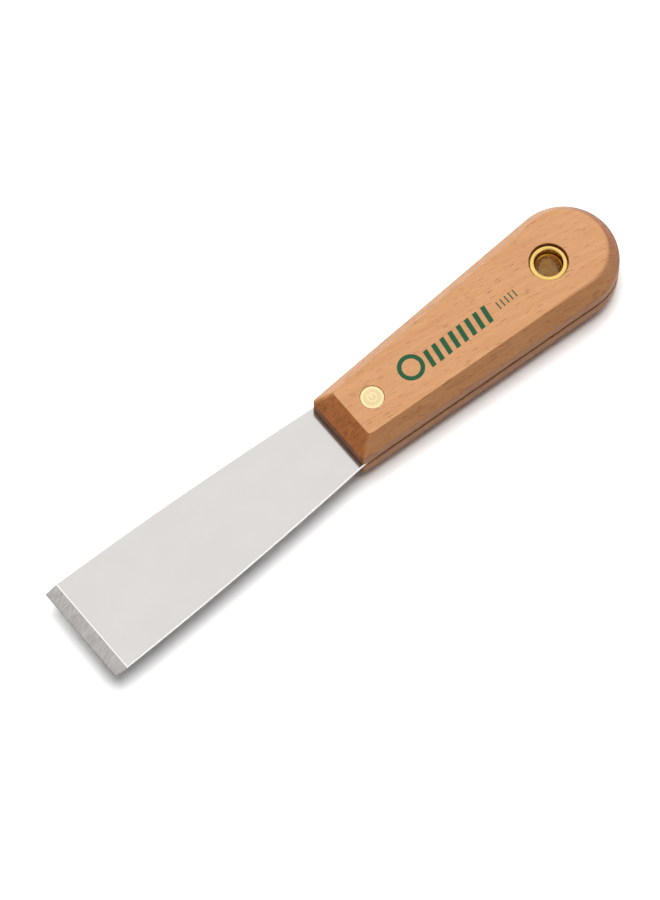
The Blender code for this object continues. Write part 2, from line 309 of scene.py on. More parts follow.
class KnifePrintSettings(bpy.types.PropertyGroup):
    """Plain printed marks on the top face."""

    print_start: bpy.props.FloatProperty(
        name="Start", description="Distance of the first mark behind the front of the handle",
        default=22.9 * MM, min=0.0, unit="LENGTH")
    ring_radius: bpy.props.FloatProperty(
        name="Ring Radius", description="Outer radius of the printed ring",
        default=4.0 * MM, min=0.0, unit="LENGTH")
    bar_height: bpy.props.FloatProperty(
        name="Bar Height", description="Height of the slanted bars across the handle",
        default=5.4 * MM, min=0.0, unit="LENGTH")
    bar_width: bpy.props.FloatProperty(
        name="Bar Width", description="Width of each slanted bar",
        default=1.5 * MM, min=0.0, unit="LENGTH")
    bar_pitch: bpy.props.FloatProperty(
        name="Bar Pitch", description="Distance between the slanted bars",
        default=3.0 * MM, min=0.0, unit="LENGTH")
    bar_count: bpy.props.IntProperty(
        name="Bars", description="Number of slanted bars", default=8, min=1, max=12)
    tick_count: bpy.props.IntProperty(
        name="Ticks", description="Number of thin ticks after the bars", default=5, min=1, max=12)
    ink: bpy.props.FloatVectorProperty(
        name="Ink", description="Colour of the printing ink",
        default=(0.008, 0.048, 0.021), subtype="COLOR", size=3, min=0.0, max=1.0)


class KnifeStageSettings(bpy.types.PropertyGroup):
    """Floor, lights and camera."""

    azimuth: bpy.props.FloatProperty(
        name="Azimuth", description="Direction that the camera looks from, round the upright axis",
        default=math.radians(-39.42), subtype="ANGLE")
    elevation: bpy.props.FloatProperty(
        name="Elevation", description="Height of the camera above the horizon",
        default=math.radians(69.0), subtype="ANGLE")
    distance: bpy.props.FloatProperty(
        name="Distance", description="Distance of the camera from the knife",
        default=2.0, min=0.1, unit="LENGTH")
    focal_length: bpy.props.FloatProperty(
        name="Focal Length", description="Focal length of the camera's lens in millimetres",
        default=283.2, min=10.0)
    aim: bpy.props.FloatVectorProperty(
        name="Aim", description="Point that the camera looks at",
        default=(-6.88 * MM, -1.22 * MM, 10.0 * MM), subtype="XYZ_LENGTH", size=3)
    reflected_walls: bpy.props.FloatProperty(
        name="Reflected Walls", description="Brightness of the studio's walls in reflections",
        default=0.5, min=0.0, max=2.0)
    floor_colour: bpy.props.FloatVectorProperty(
        name="Floor", description="Colour of the floor",
        default=(0.95, 0.95, 0.95), subtype="COLOR", size=3, min=0.0, max=1.0)


# Modelling helpers

def start_fresh():
    """Leave edit mode and deselect everything, so that an operator only sees what it is given."""
    if bpy.context.object and bpy.context.object.mode != "OBJECT":
        bpy.ops.object.mode_set(mode="OBJECT")
    bpy.ops.object.select_all(action="DESELECT")


def edit(piece):
    """Enter edit mode on one piece, with nothing in it selected."""
    start_fresh()
    piece.select_set(True)
    bpy.context.view_layer.objects.active = piece
    bpy.ops.object.mode_set(mode="EDIT")
    bpy.ops.mesh.select_all(action="DESELECT")


def select_where(piece, kind, test):
    """In edit mode, select the vertices whose place passes a test, or the edges that pass one."""
    bpy.ops.mesh.select_mode(type=kind)
    bpy.ops.mesh.select_all(action="DESELECT")
    shape = bmesh.from_edit_mesh(piece.data)
    if kind == "VERT":
        for vertex in shape.verts:
            vertex.select = test(vertex.co)
    else:
        for edge in shape.edges:
            edge.select = test(edge)
    shape.select_flush_mode()
    bmesh.update_edit_mesh(piece.data)


def settle(piece):
    """Leave edit mode and bake the piece's place into its mesh."""
    start_fresh()
    piece.select_set(True)
    bpy.context.view_layer.objects.active = piece
    bpy.ops.object.transform_apply(location=True, rotation=True, scale=True)


def apply_modifier(piece, kind, **settings):
    """Add a modifier, set it and apply it."""
    start_fresh()
    piece.select_set(True)
    bpy.context.view_layer.objects.active = piece
    modifier = piece.modifiers.new(kind.title(), kind)
    for key, value in settings.items():
        setattr(modifier, key, value)
    bpy.ops.object.modifier_apply(modifier=modifier.name)


def smooth(piece, degrees):
    """Smooth shading that keeps edges sharper than an angle."""
    start_fresh()
    piece.select_set(True)
    bpy.context.view_layer.objects.active = piece
    bpy.ops.object.shade_smooth_by_angle(angle=math.radians(degrees))


def turn_outwards(piece):
    """Merge doubles and point every face outwards."""
    edit(piece)
    bpy.ops.mesh.select_all(action="SELECT")
    bpy.ops.mesh.remove_doubles(threshold=WELD)
    bpy.ops.mesh.normals_make_consistent(inside=False)
    bpy.ops.object.mode_set(mode="OBJECT")


def turned(name, profile, centre_x, closed=False):
    """A round piece: a circle extruded and scaled along (radius, height) points.

    A closed profile ends where it began, and an open one is capped at both ends.
    """
    start_fresh()
    radius, height = profile[0]
    bpy.ops.mesh.primitive_circle_add(vertices=ROUND_STEPS, radius=radius,
                                      location=(centre_x, 0, height))
    piece = bpy.context.object
    piece.name = piece.data.name = name
    bpy.ops.object.mode_set(mode="EDIT")
    bpy.ops.mesh.select_all(action="SELECT")
    if not closed:
        bpy.ops.mesh.edge_face_add()
        bpy.ops.mesh.select_mode(type="EDGE")
    for next_radius, next_height in profile[1:]:
        bpy.ops.mesh.extrude_edges_move(
            TRANSFORM_OT_translate={"value": (0, 0, next_height - height)})
        bpy.ops.transform.resize(value=(next_radius / radius, next_radius / radius, 1),
                                 center_override=(centre_x, 0, next_height))
        radius, height = next_radius, next_height
    if not closed:
        bpy.ops.mesh.edge_face_add()
    bpy.ops.object.mode_set(mode="OBJECT")
    settle(piece)
    turn_outwards(piece)
    return piece


def stand_for(piece, material, node):
    """Give a piece its finish and let it stand for its node of the frame."""
    piece.data.materials.clear()
    piece.data.materials.append(material)
    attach(piece, "root")
    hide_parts(node)
    return piece


# Material helpers

def new_material(name):
    """A material with its shader, ready for nodes."""
    material = bpy.data.materials.new(name)
    material.use_nodes = True
    return material, material.node_tree, material.node_tree.nodes["Principled BSDF"]


def give(tree, socket, value):
    """Link a socket to another one, or set its own value."""
    if isinstance(value, bpy.types.NodeSocket):
        tree.links.new(value, socket)
    else:
        socket.default_value = value


def add_node(tree, kind, inputs=None, **settings):
    """A node with its settings and input values; a socket given as an input is linked."""
    node = tree.nodes.new(kind)
    for key, value in settings.items():
        setattr(node, key, value)
    for key, value in (inputs or {}).items():
        give(tree, node.inputs[key], value)
    return node


def placed(tree, size=(1, 1, 1), centre=(0, 0, 0), turn=0.0):
    """Object coordinates in millimetres of feature size, about a centre and turned round Z."""
    source = add_node(tree, "ShaderNodeTexCoord")
    mapping = add_node(tree, "ShaderNodeMapping", {
        "Vector": source.outputs["Object"], "Location": [c * MM for c in centre],
        "Rotation": (0, 0, turn), "Scale": [c * MM for c in size]}, vector_type="TEXTURE")
    return mapping.outputs["Vector"]


def noise(tree, vector, scale=1.0, detail=4.0, roughness=0.5, distortion=0.0):
    """Soft noise, whose features are as large as its coordinates say."""
    node = add_node(tree, "ShaderNodeTexNoise", {
        "Vector": vector, "Scale": scale, "Detail": detail, "Roughness": roughness,
        "Distortion": distortion})
    return node.outputs["Fac"]


def spread(tree, value, low, high, to_low=0.0, to_high=1.0):
    """Stretch a range of a value smoothly on to another range."""
    node = add_node(tree, "ShaderNodeMapRange", {
        "Value": value, "From Min": low, "From Max": high, "To Min": to_low, "To Max": to_high},
        interpolation_type="SMOOTHSTEP")
    return node.outputs["Result"]


def toned(tree, value, low, high):
    """Stretch the usual range of a noise on to a range of tones."""
    return spread(tree, value, NOISE_LOW, NOISE_HIGH, low, high)


def maths(tree, operation, first, second=0.0):
    """One step of arithmetic."""
    node = add_node(tree, "ShaderNodeMath", {0: first, 1: second}, operation=operation)
    return node.outputs["Value"]


def times(tree, first, second):
    """One value multiplied by another."""
    return maths(tree, "MULTIPLY", first, second)


def dashes(tree, size, centre, turn, low, high):
    """Short separate dashes along the grain, from 0 between them to 1 in their middle."""
    cells = add_node(tree, "ShaderNodeTexVoronoi", {
        "Vector": placed(tree, size, centre, turn), "Scale": 1.0, "Randomness": 1.0}, feature="F1")
    chance = add_node(tree, "ShaderNodeSeparateColor", {"Color": cells.outputs["Color"]})
    return times(tree, spread(tree, cells.outputs["Distance"], low, high, 1.0, 0.0),
                 spread(tree, chance.outputs["Red"], 0.1, 0.6))


def mix(tree, factor, first, second, **settings):
    """Mix of two colours or two numbers, as its settings say."""
    node = add_node(tree, "ShaderNodeMix", **settings)
    for key, value in (("Factor", factor), ("A", first), ("B", second)):
        give(tree, next(s for s in node.inputs if s.name == key and s.enabled), value)
    return next(s for s in node.outputs if s.enabled)


def mixed(tree, factor, first, second, blend_type="MIX"):
    """Mix of two colours."""
    return mix(tree, factor, first, second, data_type="RGBA", blend_type=blend_type)


def mixed_value(tree, factor, first, second):
    """Mix of two numbers."""
    return mix(tree, factor, first, second, data_type="FLOAT")


def shaded(tree, tint, tone):
    """A colour made lighter and darker by a tone."""
    grey = add_node(tree, "ShaderNodeCombineColor", {"Red": tone, "Green": tone, "Blue": tone})
    return mixed(tree, 1.0, tint, grey.outputs["Color"], "MULTIPLY")


def colour(value):
    """A colour with its alpha, as a socket wants it."""
    return (*value, 1.0)


def set_surface(tree, shader, tint, roughness, relief, depth, strength):
    """Link a shader's colour and roughness, and a relief whose height of 1 stands for a depth."""
    bump = add_node(tree, "ShaderNodeBump", {
        "Height": relief, "Distance": depth, "Strength": strength})
    tree.links.new(tint, shader.inputs["Base Color"])
    tree.links.new(roughness, shader.inputs["Roughness"])
    tree.links.new(bump.outputs["Normal"], shader.inputs["Normal"])


# Materials

def beech(name, centre):
    """Varnished beech: fine grain, short ray flecks, darker end grain where it is cut, and painted
    shade on the side facing -Y and on both upright lands.
    """
    wood = bpy.context.scene.knife_scales
    material, tree, shader = new_material(name)
    turn = wood.grain_angle

    def grain(size, **settings):
        """Noise drawn out along the grain."""
        return noise(tree, placed(tree, size, centre, turn), **settings)

    # Long grain, in the colours of the top face
    fibres = grain(FIBRE_SIZE, detail=3.0, roughness=0.55)
    light_wood = colour(wood.light_wood)
    streaks = toned(tree, grain(STREAK_SIZE, detail=3.0, distortion=0.3), 0.0, 1.0)
    clouds = spread(tree, grain(CLOUD_SIZE, detail=2.0), 0.35, 0.7, 0.0, 0.4)
    base = mixed(tree, streaks, light_wood, colour(wood.dark_wood))
    base = mixed(tree, clouds, base, light_wood)
    base = shaded(tree, base, spread(tree, fibres, 0.28, 0.72, 0.90, 1.06))

    # Ray flecks everywhere, and rounder spots on the upright sides
    facing = add_node(tree, "ShaderNodeSeparateXYZ", {
        "Vector": add_node(tree, "ShaderNodeTexCoord").outputs["Normal"]})
    sideways = maths(tree, "ABSOLUTE", facing.outputs["Y"])
    lengthways = maths(tree, "ABSOLUTE", facing.outputs["X"])
    flecks = dashes(tree, FLECK_SIZE, centre, turn, 0.13, 0.24)
    small_centre = (centre[0] + SMALL_FLECK_SHIFT, centre[1], centre[2])
    small_flecks = dashes(tree, SMALL_FLECK_SIZE, small_centre, turn, 0.11, 0.21)
    marks = maths(tree, "MAXIMUM", flecks, times(tree, small_flecks, 0.8))
    spots = times(tree, spread(tree, grain(SPOT_SIZE, detail=3.0), 0.54, 0.70),
                  spread(tree, sideways, 0.3, 0.8))
    marks = maths(tree, "MAXIMUM", marks, times(tree, spots, 0.55))
    side = mixed(tree, times(tree, marks, 0.66), base, colour(wood.fleck))

    # Painted shade: the side facing -Y and both upright lands are darkened, where less light falls
    # on them
    side_shade_tint = colour(wood.side_shade_tint)
    painted_shade = spread(tree, facing.outputs["Y"], -0.95, 0.1, 1.0, 0.0)
    side = mixed(tree, painted_shade, side, side_shade_tint, "MULTIPLY")
    side = mixed(tree, spread(tree, sideways, 0.88, 1.0, 0.0, 0.8), side, side_shade_tint, "MULTIPLY")

    # End grain at the front and round the butt
    rays = grain(RAY_SIZE, detail=4.0, roughness=0.6)
    pores = grain(PORE_SIZE, detail=2.0)
    patches = grain(END_PATCH_SIZE, detail=2.0)
    end_tone = times(tree, spread(tree, rays, 0.32, 0.68, 0.66, 1.34),
                     spread(tree, pores, 0.35, 0.6, 0.86, 1.1))
    end_tone = times(tree, end_tone, toned(tree, patches, 0.85, 1.15))
    end = shaded(tree, colour(wood.end_grain), end_tone)

    tint = mixed(tree, spread(tree, lengthways, 0.25, 0.9), side, end)
    relief = maths(tree, "SUBTRACT", fibres, times(tree, marks, 0.7))
    shader.inputs["Specular IOR Level"].default_value = 0.14
    set_surface(tree, shader, tint, toned(tree, fibres, 0.42, 0.54), relief, 0.03 * MM, 0.5)
    return material


def polished_steel():
    """Bright steel with hair-fine marks, coarser grinding lines on the bevel, and a painted
    highlight at the bevel's heel.
    """
    blade = bpy.context.scene.knife_blade
    material, tree, shader = new_material("polished_steel")
    hair = noise(tree, placed(tree, HAIR_SIZE), detail=3.0, roughness=0.7)
    mottle = noise(tree, placed(tree, MOTTLE_SIZE), detail=5.0, roughness=0.6)
    face = shaded(tree, colour(blade.steel), toned(tree, mottle, 0.985, 1.01))

    grind = noise(tree, placed(tree, GRIND_SIZE, turn=GRIND_ANGLE), detail=5.0, roughness=0.75)
    patches = noise(tree, placed(tree, GROUND_PATCH_SIZE), detail=2.0)
    grind_tone = times(tree, spread(tree, grind, 0.34, 0.66, 0.68, 1.30),
                       toned(tree, patches, 0.94, 1.05))
    ground = shaded(tree, colour(blade.ground_steel), grind_tone)

    # Painted highlight: the bevel ends in a bright line painted at its heel, standing in for the
    # glint of its edge
    along = add_node(tree, "ShaderNodeSeparateXYZ", {"Vector": placed(tree)}).outputs["X"]
    heel = (BLADE_LOW.x + blade.bevel_length) / MM
    on_bevel = spread(tree, along, heel + 0.1, heel + 0.3, 1.0, 0.0)
    past_heel = maths(tree, "ABSOLUTE", maths(tree, "SUBTRACT", along, heel + 0.02))
    painted_heel_highlight = spread(tree, past_heel, 0.08, 0.26, 1.0, 0.0)
    ground = mixed(tree, painted_heel_highlight, ground, colour(blade.heel_highlight_steel))

    tint = mixed(tree, on_bevel, face, ground)
    roughness = mixed_value(tree, on_bevel, toned(tree, hair, 0.13, 0.17), BEVEL_ROUGHNESS)
    marks = mixed_value(tree, on_bevel, times(tree, hair, 0.04), grind)
    shader.inputs["Metallic"].default_value = 1.0
    set_surface(tree, shader, tint, roughness, marks, 0.02 * MM, 0.35)
    return material


def turned_brass(name, tint, centre_x, pitch, mark_depth, base_roughness):
    """Brass with turning marks in rings round its own axis."""
    material, tree, shader = new_material(name)
    place = add_node(tree, "ShaderNodeSeparateXYZ", {
        "Vector": placed(tree, centre=(centre_x / MM, 0, 0))})
    flat = add_node(tree, "ShaderNodeCombineXYZ", {
        "X": place.outputs["X"], "Y": place.outputs["Y"]})
    radius = add_node(tree, "ShaderNodeVectorMath", {0: flat.outputs["Vector"]},
                      operation="LENGTH")
    unrolled = add_node(tree, "ShaderNodeCombineXYZ", {
        "X": radius.outputs["Value"], "Y": place.outputs["Z"]})
    rings = noise(tree, unrolled.outputs["Vector"], scale=MM / pitch, detail=3.0, roughness=0.6)
    tarnish = noise(tree, placed(tree, TARNISH_SIZE), detail=4.0)
    tone = times(tree, spread(tree, rings, 0.34, 0.66, 0.84, 1.06),
                 spread(tree, tarnish, 0.35, 0.75, 1.0, 0.94))
    roughness = spread(tree, tarnish, 0.3, 0.8, base_roughness, base_roughness + 0.12)
    shader.inputs["Metallic"].default_value = 1.0
    set_surface(tree, shader, shaded(tree, colour(tint), tone), roughness, rings, mark_depth, 0.6)
    return material


def printing_ink():
    """Thin ink, with the wood showing through where the grain was low."""
    ink = bpy.context.scene.knife_print.ink
    wood = bpy.context.scene.knife_scales
    material, tree, shader = new_material("printing_ink")
    fine = noise(tree, placed(tree, INK_GRAIN_SIZE, turn=wood.grain_angle), detail=3.0,
                 roughness=0.7)
    tint = mixed(tree, spread(tree, fine, 0.3, 0.6), colour(ink), colour([c * 1.5 for c in ink]))
    bare = spread(tree, fine, 0.66, 0.76, 0.0, 0.5)
    tint = mixed(tree, bare, tint, colour(wood.dark_wood))
    shader.inputs["Specular IOR Level"].default_value = 0.2
    set_surface(tree, shader, tint, toned(tree, fine, 0.5, 0.65), fine, 0.02 * MM, 0.5)
    return material


def pale_floor():
    """Plain matt floor with a barely visible tone."""
    material, tree, shader = new_material("pale_floor")
    tone = toned(tree, noise(tree, placed(tree, FLOOR_TONE_SIZE), detail=2.0), 0.985, 1.0)
    floor = colour(bpy.context.scene.knife_stage.floor_colour)
    tree.links.new(shaded(tree, floor, tone), shader.inputs["Base Color"])
    shader.inputs["Roughness"].default_value = 0.9
    shader.inputs["Specular IOR Level"].default_value = 0.1
    return material


# Shapes

def scale_outline(name, wood):
    """Flat outline of a scale at the parting line: a round butt, two flared sides and the front."""
    centre_x = BUTT_X - BUTT_RADIUS
    half_front = wood.front_width / 2
    flare = (math.asin(BUTT_RADIUS / math.hypot(centre_x - FRONT_X, half_front))
             - math.atan2(half_front, centre_x - FRONT_X))
    start_fresh()
    bpy.ops.mesh.primitive_circle_add(vertices=BUTT_STEPS, radius=BUTT_RADIUS,
                                      location=(centre_x, 0, TOP_LOW.z))
    piece = bpy.context.object
    piece.name = piece.data.name = name
    settle(piece)
    edit(piece)
    tangent_x = centre_x - BUTT_RADIUS * math.sin(flare)
    select_where(piece, "VERT", lambda place: place.x < tangent_x - SAME_PLACE)
    bpy.ops.mesh.delete(type="VERT")
    for side in (1, -1):
        shape = bmesh.from_edit_mesh(piece.data)
        end = min((v.co.copy() for v in shape.verts if v.co.y * side > 0), key=lambda co: co.x)
        corner = Vector((FRONT_X, side * half_front, end.z))
        select_where(piece, "VERT", lambda place: (place - end).length < SAME_POINT)
        for step in range(SIDE_STEPS):
            bpy.ops.mesh.extrude_vertices_move(
                TRANSFORM_OT_translate={"value": (corner - end) / SIDE_STEPS})
    select_where(piece, "VERT", lambda place: place.x < FRONT_X + SAME_PLACE)
    bpy.ops.mesh.edge_face_add()
    bpy.ops.mesh.select_all(action="SELECT")
    bpy.ops.mesh.edge_face_add()
    return piece, flare


def chamfer_weight(x, wood):
    """Share of the butt's rounding at a place along the handle."""
    share = min(max(1 - (BUTT_X - x) / ROUNDING_RUN, 0), 1)
    share = share * share * (3 - 2 * share)
    rounding = wood.front_rounding + (wood.butt_rounding - wood.front_rounding) * share
    return rounding / wood.butt_rounding


def scale_blank(name):
    """A scale before drilling: an upright land, a wide chamfer and a flat face."""
    wood = bpy.context.scene.knife_scales
    piece, flare = scale_outline(name, wood)
    land_z = TOP_LOW.z + wood.land_height
    face_z = TOP_HIGH.z - PRINT_RISE
    bpy.ops.mesh.select_mode(type="FACE")
    bpy.ops.mesh.select_all(action="SELECT")
    bpy.ops.mesh.extrude_region_move(TRANSFORM_OT_translate={"value": (0, 0, wood.land_height)})
    bpy.ops.mesh.inset(thickness=wood.side_chamfer, depth=0)
    butt_shift = wood.side_chamfer - wood.butt_chamfer
    bpy.ops.transform.translate(value=(butt_shift, 0, face_z - land_z))
    front_shift = wood.front_chamfer - wood.side_chamfer - butt_shift
    inner_x = FRONT_X + wood.side_chamfer + butt_shift
    for side in (1, -1):
        select_where(piece, "VERT", lambda place: (
            place.z > face_z - SAME_PLACE and place.x < inner_x + FACE_ROOM and place.y * side > 0))
        bpy.ops.transform.translate(value=(front_shift, side * front_shift * math.tan(flare), 0))

    corner_y = wood.front_width / 2 - wood.front_chamfer - CORNER_ROOM

    def front_corner(edge):
        """Whether an edge climbs a front corner, on the upright land or on the chamfer."""
        first, second = (v.co for v in edge.verts)
        return (abs(first.z - second.z) > CORNER_ROOM
                and first.x < inner_x + 2 * CORNER_ROOM
                and min(abs(first.y), abs(second.y)) > corner_y
                and min(first.x, second.x) < FRONT_X + SAME_PLACE)

    def level_edge(edge, height):
        """Whether an edge lies at a height."""
        return all(abs(v.co.z - height) < SAME_PLACE for v in edge.verts)

    select_where(piece, "EDGE", front_corner)
    bpy.ops.mesh.bevel(offset=CORNER_ROUNDING, segments=6, affect="EDGES")
    shape = bmesh.from_edit_mesh(piece.data)
    weight = shape.edges.layers.float.new("bevel_weight_edge")
    for edge in shape.edges:
        if level_edge(edge, land_z) or level_edge(edge, face_z):
            middle = (edge.verts[0].co.x + edge.verts[1].co.x) / 2
            edge[weight] = chamfer_weight(middle, wood)
    bmesh.update_edit_mesh(piece.data)
    bpy.ops.object.mode_set(mode="OBJECT")
    apply_modifier(piece, "BEVEL", width=wood.butt_rounding, segments=5, limit_method="WEIGHT")
    edit(piece)
    select_where(piece, "EDGE", lambda edge: level_edge(edge, TOP_LOW.z))
    bpy.ops.mesh.bevel(offset=PARTING_BREAK, segments=3, affect="EDGES")
    bpy.ops.object.mode_set(mode="OBJECT")
    turn_outwards(piece)
    return piece


def drill(piece, name, x, hole_radius, head_radius, head_depth, rim):
    """A hole right through the handle, with a broken-edged counterbore at each face."""
    bottom = BOTTOM_LOW.z
    top = TOP_HIGH.z
    profile = [
        (head_radius + rim, bottom - CUT_MARGIN),
        (head_radius + rim, bottom),
        (head_radius, bottom + rim),
        (head_radius, bottom + head_depth),
        (hole_radius, bottom + head_depth),
        (hole_radius, top - head_depth),
        (head_radius, top - head_depth),
        (head_radius, top - rim),
        (head_radius + rim, top),
        (head_radius + rim, top + CUT_MARGIN),
    ]
    cutter = turned(name, profile, x)
    apply_modifier(piece, "BOOLEAN", operation="DIFFERENCE", solver="EXACT", object=cutter)
    bpy.data.objects.remove(cutter, do_unlink=True)


def drill_both(piece):
    """The rivet's hole and the hang hole, through one piece."""
    head_depth = TOP_HIGH.z - STUD_HIGH.z + HEAD_HEIGHT + FIT_GAP
    flange_depth = TOP_HIGH.z - EYELET_SLEEVE_HIGH.z + FLANGE_HEIGHT + FIT_GAP
    drill(piece, "rivet_drill", RIVET_X, SLEEVE_RADIUS + FIT_GAP,
          RIVET_HEAD_RADIUS + HEAD_GAP, head_depth, HEAD_HOLE_BREAK)
    drill(piece, "eyelet_drill", EYELET_X, EYELET_HOLE_RADIUS,
          FLANGE_RADIUS + FLANGE_GAP, flange_depth, FLANGE_HOLE_BREAK)


def finish_flats(piece):
    """Smooth shading whose large flat faces stay flat beside their roundings."""
    smooth(piece, FLAT_PIECE_ANGLE)
    apply_modifier(piece, "WEIGHTED_NORMAL", keep_sharp=True, weight=LARGE_FACE_WEIGHT)


# Operators

class KNIFE_OT_scales(bpy.types.Operator):
    """Model both wooden scales"""

    bl_idname = "knife.scales"
    bl_label = "Wooden Scales"

    def execute(self, context):
        top = scale_blank("beech_scale_top")
        drill_both(top)
        bottom = top.copy()
        bottom.data = top.data.copy()
        bottom.name = bottom.data.name = "beech_scale_bottom"
        context.collection.objects.link(bottom)
        edit(bottom)
        bpy.ops.mesh.select_all(action="SELECT")
        bpy.ops.transform.rotate(value=math.pi, orient_axis="X", center_override=(0, 0, MID_Z))
        bpy.ops.object.mode_set(mode="OBJECT")
        for piece, node, shift in ((top, "top_scale", (0, 0, 0)),
                                   (bottom, "bottom_scale", BOTTOM_WOOD_SHIFT)):
            finish_flats(piece)
            stand_for(piece, beech(node + "_beech", shift), node)
        return {"FINISHED"}


class KNIFE_OT_blade(bpy.types.Operator):
    """Model the blade with its tang"""

    bl_idname = "knife.blade"
    bl_label = "Blade"

    def execute(self, context):
        blade = context.scene.knife_blade
        edge_x = BLADE_LOW.x
        heel_x = edge_x + blade.bevel_length
        widest = BLADE_HIGH.y
        half_neck = blade.neck_width / 2
        half_thick = (BLADE_HIGH.z - BLADE_LOW.z) / 2
        half_tip = blade.tip_thickness / 2
        tang_end_radius = BLADE_HIGH.x - EYELET_X
        sections = [(edge_x, blade.edge_width / 2, blade.edge_land - half_tip, -half_tip)]
        for step in range(BLADE_STEPS + 1):
            share = step / BLADE_STEPS
            x = heel_x + (FRONT_X - heel_x) * share
            half_width = (widest * (1 - share) + half_neck * share
                          + 4 * blade.side_bulge * share * (1 - share))
            half_height = half_tip + (half_thick - half_tip) * share
            sections.append((x, half_width, half_height, -half_height))
        drop = half_neck - tang_end_radius
        shoulder_x = FRONT_X + SHOULDER_SETBACK + drop
        for step in range(SHOULDER_STEPS + 1):
            angle = math.pi * (1 + step / (2 * SHOULDER_STEPS))
            sections.append((shoulder_x + drop * math.cos(angle),
                             half_neck + drop * math.sin(angle), half_thick, -half_thick))
        for step in range(TANG_END_STEPS):
            angle = math.pi / 2 * (1 - step / TANG_END_STEPS)
            sections.append((EYELET_X + tang_end_radius * math.cos(angle),
                             tang_end_radius * math.sin(angle), half_thick, -half_thick))
        x, half_width, top, bottom = sections[0]
        start_fresh()
        bpy.ops.mesh.primitive_plane_add(size=1, location=(x, 0, MID_Z + (top + bottom) / 2),
                                         rotation=(0, math.pi / 2, 0))
        piece = bpy.context.object
        piece.name = piece.data.name = "steel_blade"
        settle(piece)
        edit(piece)
        bpy.ops.mesh.select_mode(type="FACE")
        bpy.ops.mesh.select_all(action="SELECT")
        bpy.ops.transform.resize(value=(1, 2 * half_width, top - bottom),
                                 center_override=(x, 0, MID_Z + (top + bottom) / 2))
        for next_x, next_half, next_top, next_bottom in sections[1:]:
            rise = (next_top + next_bottom - top - bottom) / 2
            bpy.ops.mesh.extrude_region_move(
                TRANSFORM_OT_translate={"value": (next_x - x, 0, rise)})
            bpy.ops.transform.resize(
                value=(1, next_half / half_width, (next_top - next_bottom) / (top - bottom)),
                center_override=(next_x, 0, MID_Z + (next_top + next_bottom) / 2))
            x, half_width, top, bottom = next_x, next_half, next_top, next_bottom
        bpy.ops.object.mode_set(mode="OBJECT")
        turn_outwards(piece)
        edit(piece)
        select_where(piece, "EDGE", lambda edge: (
            len(edge.link_faces) == 2 and edge.calc_face_angle(0) > math.radians(50)))
        bpy.ops.mesh.bevel(offset=blade.edge_break, segments=3, affect="EDGES")
        bpy.ops.object.mode_set(mode="OBJECT")
        turn_outwards(piece)
        drill_both(piece)
        finish_flats(piece)
        stand_for(piece, polished_steel(), "blade")
        return {"FINISHED"}


def rounded_rim(radius, face, rim):
    """Points of the quarter circle that a face ends in."""
    points = []
    for step in range(1, RIM_STEPS + 1):
        angle = math.pi / 2 * step / RIM_STEPS
        points.append((radius - rim + rim * math.sin(angle), face - rim + rim * math.cos(angle)))
    return points


def head_profile(radius, face, brass):
    """Half section of a rivet's face: a small pip, shallow turning rings and a rounded rim."""
    points = []
    for step in range(HEAD_FLAT_STEPS, HEAD_STEPS + 1):
        r = (radius - HEAD_RIM) * step / HEAD_STEPS
        ring = math.cos(2 * math.pi * r / brass.ring_pitch) * brass.ring_depth
        from_pip = (r - brass.centre_pip) / PIP_WIDTH
        pip = -PIP_DEPTH_IN_RINGS * brass.ring_depth * math.exp(-from_pip ** 2)
        crown = -HEAD_CROWN * (r / radius) ** 2
        points.append((r, face + min(ring + pip, 0) + crown))
    return points + rounded_rim(radius, points[-1][1], HEAD_RIM)


class KNIFE_OT_rivet(bpy.types.Operator):
    """Model the rivet's stud and sleeve"""

    bl_idname = "knife.rivet"
    bl_label = "Rivet"

    def execute(self, context):
        brass = context.scene.knife_brass
        radius = RIVET_HEAD_RADIUS
        head_foot = STUD_HIGH.z - HEAD_HEIGHT
        stud_profile = head_profile(radius, STUD_HIGH.z, brass)
        stud_profile += [(radius, head_foot), (STUD_RADIUS, head_foot), (STUD_RADIUS, STUD_LOW.z)]
        stud = turned("rivet_stud_brass", stud_profile, RIVET_X)
        sleeve_profile = [(r, 2 * MID_Z - h) for r, h in head_profile(
            radius, 2 * MID_Z - RIVET_SLEEVE_LOW.z, brass)]
        sleeve_foot = RIVET_SLEEVE_LOW.z + HEAD_HEIGHT
        sleeve_profile += [(radius, sleeve_foot), (SLEEVE_RADIUS, sleeve_foot),
                           (SLEEVE_RADIUS, RIVET_SLEEVE_HIGH.z),
                           (SLEEVE_BORE, RIVET_SLEEVE_HIGH.z), (SLEEVE_BORE, sleeve_foot)]
        sleeve = turned("rivet_sleeve_brass", sleeve_profile, RIVET_X)
        finish = turned_brass("rivet_brass", brass.rivet_brass, RIVET_X, *RIVET_MARKS)
        for piece, node in ((stud, "rivet_stud"), (sleeve, "rivet_sleeve")):
            smooth(piece, ROUND_PIECE_ANGLE)
            stand_for(piece, finish, node)
        return {"FINISHED"}


def eyelet_profile(bore, tube, face, end, lip):
    """Closed half section of a flanged tube with its flange up, gently crowned, with soft lips."""
    foot = face - FLANGE_HEIGHT
    points = []
    for step in range(LIP_STEPS + 1):
        angle = math.pi / 2 * step / LIP_STEPS
        points.append((bore + lip - lip * math.cos(angle),
                       face - FLANGE_CROWN - lip + lip * math.sin(angle)))
    start_radius = points[-1][0]
    run = FLANGE_RADIUS - FLANGE_RIM - start_radius
    for step in range(1, LIP_STEPS + 1):
        share = step / LIP_STEPS
        fall = 1 - math.sin(math.pi * share) ** FLANGE_CROWN_POWER
        points.append((start_radius + run * share, face - FLANGE_CROWN * fall))
    points += rounded_rim(FLANGE_RADIUS, points[-1][1], FLANGE_RIM)
    points += [(FLANGE_RADIUS, foot), (tube, foot), (tube, end), (bore, end + (tube - bore))]
    points.append(points[0])
    return points


